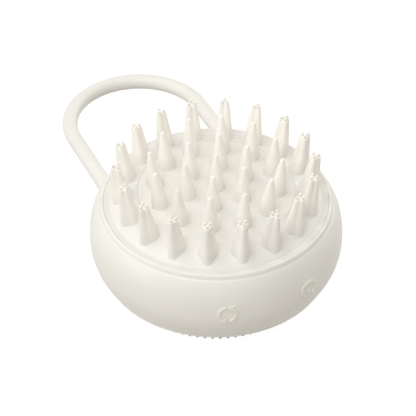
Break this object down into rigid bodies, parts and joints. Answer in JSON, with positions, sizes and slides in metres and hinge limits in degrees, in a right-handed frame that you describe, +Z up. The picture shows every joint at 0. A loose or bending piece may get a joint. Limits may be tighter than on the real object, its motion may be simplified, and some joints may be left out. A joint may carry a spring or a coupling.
{
  "type": "electric scalp massager",
  "caption": "Round palm-held scalp massager with a turning head of soft cones, a ring of lobed bristles, side buttons and a loop handle.",
  "frame": {"origin": "on the body's axis, in the plane of the foot pad that the massager stands on", "axes": "+Z up the body's axis towards the cone tips, +Y from the body towards the loop handle, +X towards the power button's side"},
  "size_m": [0.09, 0.1448, 0.0549],
  "materials": {
    "soft_touch_shell": "soft-touch matt cream",
    "base_plastic": "matt cream",
    "silicone": "satin translucent cream silicone",
    "handle_soft": "soft-touch matt cream",
    "inner_plastic": "moulded white plastic",
    "gearbox_plastic": "moulded dark plastic",
    "gear_plastic": "natural acetal",
    "shaft_steel": "ground",
    "screw_steel": "zinc plated",
    "motor_steel": "drawn steel",
    "switch_steel": "stamped steel",
    "bush_bronze": "sintered bronze",
    "contact_brass": "gold plated",
    "magnet": "ferrite",
    "armature_copper": "enamelled copper winding",
    "seal_rubber": "black rubber",
    "board": "green solder mask",
    "cell_foil": "pouch foil",
    "lead_red": "insulated lead",
    "lead_blue": "insulated lead"
  },
  "bodies": {
    "housing": {"upper_shell": "soft_touch_shell", "base_shell": "base_plastic", "bristle_pad": "silicone", "pad_ring": "inner_plastic", "pad_ring_screws": "screw_steel", "nub_ring": "silicone", "foot_pad": "silicone", "housing_seal": "seal_rubber", "base_screws": "screw_steel", "handle_loop": "handle_soft", "handle_seals": "seal_rubber", "handle_screws": "screw_steel", "gearbox_cover": "gearbox_plastic", "gearbox_tray": "gearbox_plastic", "gearbox_screws": "screw_steel", "mounting_screws": "screw_steel", "shaft_seal": "seal_rubber", "upper_bush": "bush_bronze", "lower_bush": "bush_bronze", "idler_pin": "shaft_steel", "motor_can": "motor_steel", "motor_end_cap": "gearbox_plastic", "motor_magnets": "magnet", "motor_screws": "screw_steel", "power_switch": "switch_steel", "mode_switch": "switch_steel", "circuit_board": "board", "board_components": "gearbox_plastic", "board_screws": "screw_steel", "battery_cell": "cell_foil", "battery_tape": "seal_rubber", "charge_contacts": "contact_brass", "battery_leads": "lead_red", "motor_leads": "lead_blue", "charge_leads": "lead_red"},
    "turning_head": {"cone_pad": "silicone", "head_carrier": "inner_plastic", "carrier_screw": "screw_steel", "head_shaft": "shaft_steel", "head_gear": "gear_plastic"},
    "idler": {"idler_gear": "gear_plastic"},
    "rotor": {"motor_shaft": "shaft_steel", "motor_pinion": "gear_plastic", "motor_armature": "armature_copper"},
    "power_key": {"power_button": "soft_touch_shell", "power_plunger": "gearbox_plastic"},
    "mode_key": {"mode_button": "soft_touch_shell", "mode_plunger": "gearbox_plastic"}
  },
  "joints": [
    {"name": "head_spin", "type": "hinge", "parent": "housing", "child": "turning_head", "pos_m": [0, 0, 0.0303], "axis": [0, 0, 1], "continuous": true},
    {"name": "idler_spin", "type": "hinge", "parent": "housing", "child": "idler", "pos_m": [0.00967, 0.01694, 0.0223], "axis": [0, 0, 1], "continuous": true},
    {"name": "rotor_spin", "type": "hinge", "parent": "housing", "child": "rotor", "pos_m": [0, 0.0195, 0.0223], "axis": [0, 0, 1], "continuous": true},
    {"name": "power_press", "type": "slide", "parent": "housing", "child": "power_key", "axis": [-0.342, 0.9397, 0], "range_m": [0, 0.0004], "stiffness_N_per_m": 3000, "springref_m": -0.0002},
    {"name": "mode_press", "type": "slide", "parent": "housing", "child": "mode_key", "axis": [0.342, 0.9397, 0], "range_m": [0, 0.0004], "stiffness_N_per_m": 3000, "springref_m": -0.0002}
  ],
  "couplings": [
    {"joint": "idler_spin", "follows": "head_spin", "ratio": -1.6},
    {"joint": "rotor_spin", "follows": "head_spin", "ratio": 4.8}
  ]
}
